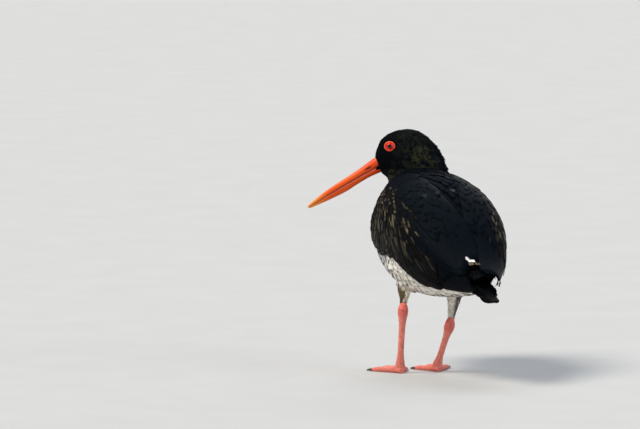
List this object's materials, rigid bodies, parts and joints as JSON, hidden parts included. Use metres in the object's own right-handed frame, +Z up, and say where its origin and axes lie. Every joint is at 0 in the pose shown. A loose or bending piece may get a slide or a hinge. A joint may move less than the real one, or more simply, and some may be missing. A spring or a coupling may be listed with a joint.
{
  "type": "pied oystercatcher",
  "caption": "Still life-size wading bird standing on both feet with its head turned to its left, for display.",
  "frame": {"origin": "middle of the bird's footprint box on the floor, under the soles", "axes": "+Z up, the breast faces -Y, the bird's left is +X"},
  "size_m": [0.1506, 0.258, 0.2274],
  "materials": {
    "black_plumage": "satin",
    "white_plumage": "matte",
    "bill": "satin",
    "iris": "gloss",
    "eye_ring": "satin",
    "leg": "satin",
    "claw": "satin"
  },
  "bodies": {
    "root": {"bill_lower": "bill", "bill_upper": "bill", "claw_left_inner": "claw", "claw_left_middle": "claw", "claw_left_outer": "claw", "claw_right_inner": "claw", "claw_right_middle": "claw", "claw_right_outer": "claw", "eye_left": "iris", "eye_right": "iris", "eyelid_left": "eye_ring", "eyelid_right": "eye_ring", "foot_left": "leg", "foot_right": "leg", "head": "black_plumage", "neck": "black_plumage", "tail": "black_plumage", "tarsus_left": "leg", "tarsus_right": "leg", "tibia_left": "white_plumage", "tibia_right": "white_plumage", "toe_left_inner": "leg", "toe_left_middle": "leg", "toe_left_outer": "leg", "toe_right_inner": "leg", "toe_right_middle": "leg", "toe_right_outer": "leg", "torso": "black_plumage", "wing_left": "black_plumage", "wing_right": "black_plumage"}
  },
  "joints": []
}
